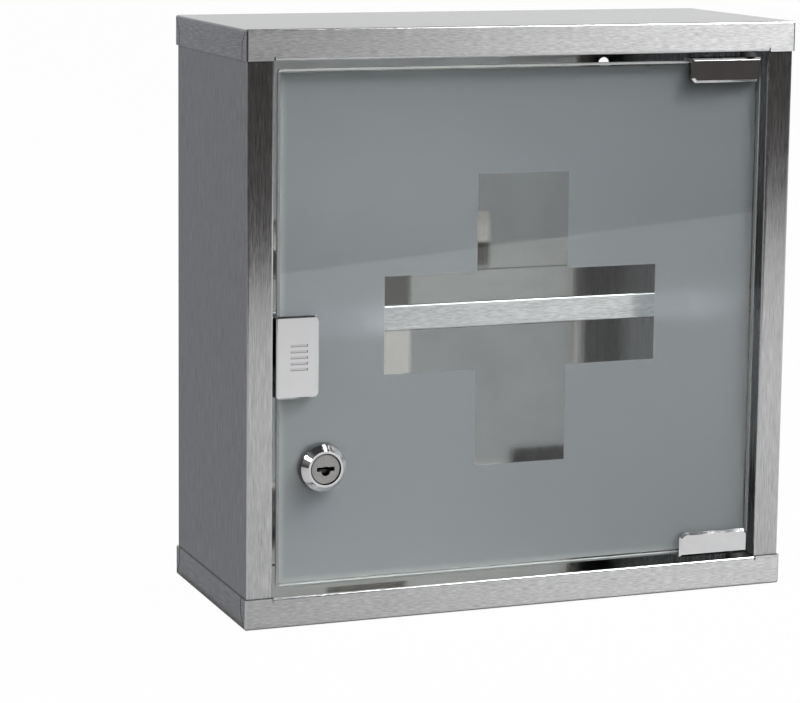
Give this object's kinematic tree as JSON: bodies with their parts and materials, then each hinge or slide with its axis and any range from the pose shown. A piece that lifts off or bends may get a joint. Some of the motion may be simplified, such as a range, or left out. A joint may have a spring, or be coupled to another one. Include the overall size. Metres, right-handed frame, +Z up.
{
  "type": "medicine cabinet",
  "caption": "Wall-hung medicine cabinet of folded brushed steel with a shelf and a locking frosted glass door that has a clear cross window.",
  "frame": {"origin": "middle of the base, at the level it stands on", "axes": "+X to the right seen from the front, +Y to the wall behind, +Z up"},
  "size_m": [0.3, 0.1216, 0.3],
  "materials": {
    "brushed_sheet": "brushed stainless sheet",
    "polished_sheet": "bright smooth stainless sheet",
    "clear_glass": "clear float glass with polished edges",
    "frosted_layer": "frosted translucent layer",
    "chrome": "bright chrome plating",
    "satin_nickel": "satin nickel",
    "nickel_silver": "bare nickel silver",
    "zinc_steel": "bright zinc plate",
    "black_plastic": "moulded black plastic",
    "nylon": "dark nylon",
    "soft_pad": "thin soft liner",
    "magnet": "ferrite"
  },
  "bodies": {
    "cabinet": {"top_cap": "brushed_sheet", "bottom_cap": "brushed_sheet", "left_side_panel": "brushed_sheet", "right_side_panel": "brushed_sheet", "shelf": "brushed_sheet", "left_shelf_bracket": "brushed_sheet", "right_shelf_bracket": "brushed_sheet", "latch_bracket": "brushed_sheet", "back_panel": "polished_sheet", "latch_screw_1": "zinc_steel", "latch_screw_2": "zinc_steel", "latch_spring": "zinc_steel", "latch_body": "black_plastic", "top_hinge_bush": "nylon", "bottom_hinge_bush": "nylon"},
    "door": {"door_glass": "clear_glass", "frosted_film": "frosted_layer", "strike_plate": "chrome", "strike_front_pad": "soft_pad", "strike_rear_pad": "soft_pad", "strike_screw_1": "zinc_steel", "strike_screw_2": "zinc_steel", "lock_barrel": "chrome", "lock_gasket": "soft_pad", "lock_washer": "zinc_steel", "lock_nut": "zinc_steel", "top_hinge_clip": "chrome", "top_hinge_front_pad": "soft_pad", "top_hinge_rear_pad": "soft_pad", "top_hinge_screw_1": "zinc_steel", "top_hinge_screw_2": "zinc_steel", "top_hinge_pin": "zinc_steel", "bottom_hinge_clip": "chrome", "bottom_hinge_front_pad": "soft_pad", "bottom_hinge_rear_pad": "soft_pad", "bottom_hinge_screw_1": "zinc_steel", "bottom_hinge_screw_2": "zinc_steel", "bottom_hinge_pin": "zinc_steel"},
    "lock_rotor": {"lock_plug": "satin_nickel", "lock_wafer_1": "nickel_silver", "lock_wafer_2": "nickel_silver", "lock_wafer_3": "nickel_silver", "lock_wafer_4": "nickel_silver", "lock_cam": "zinc_steel", "lock_cam_screw": "zinc_steel"},
    "plunger": {"latch_plunger": "black_plastic", "latch_magnet": "magnet"}
  },
  "joints": [
    {"name": "door_swing", "type": "hinge", "parent": "cabinet", "child": "door", "pos_m": [0.1252, -0.055, 0.15], "axis": [0, 0, 1], "range_deg": [0, 105]},
    {"name": "lock_turn", "type": "hinge", "parent": "door", "child": "lock_rotor", "pos_m": [-0.1081, -0.057, 0.0801], "axis": [0, 1, 0], "range_deg": [0, 90]},
    {"name": "latch_press", "type": "slide", "parent": "cabinet", "child": "plunger", "axis": [0, 1, 0], "range_m": [0, 0.003], "stiffness_N_per_m": 400, "springref_m": -0.004, "deforming": ["latch_spring"]}
  ]
}
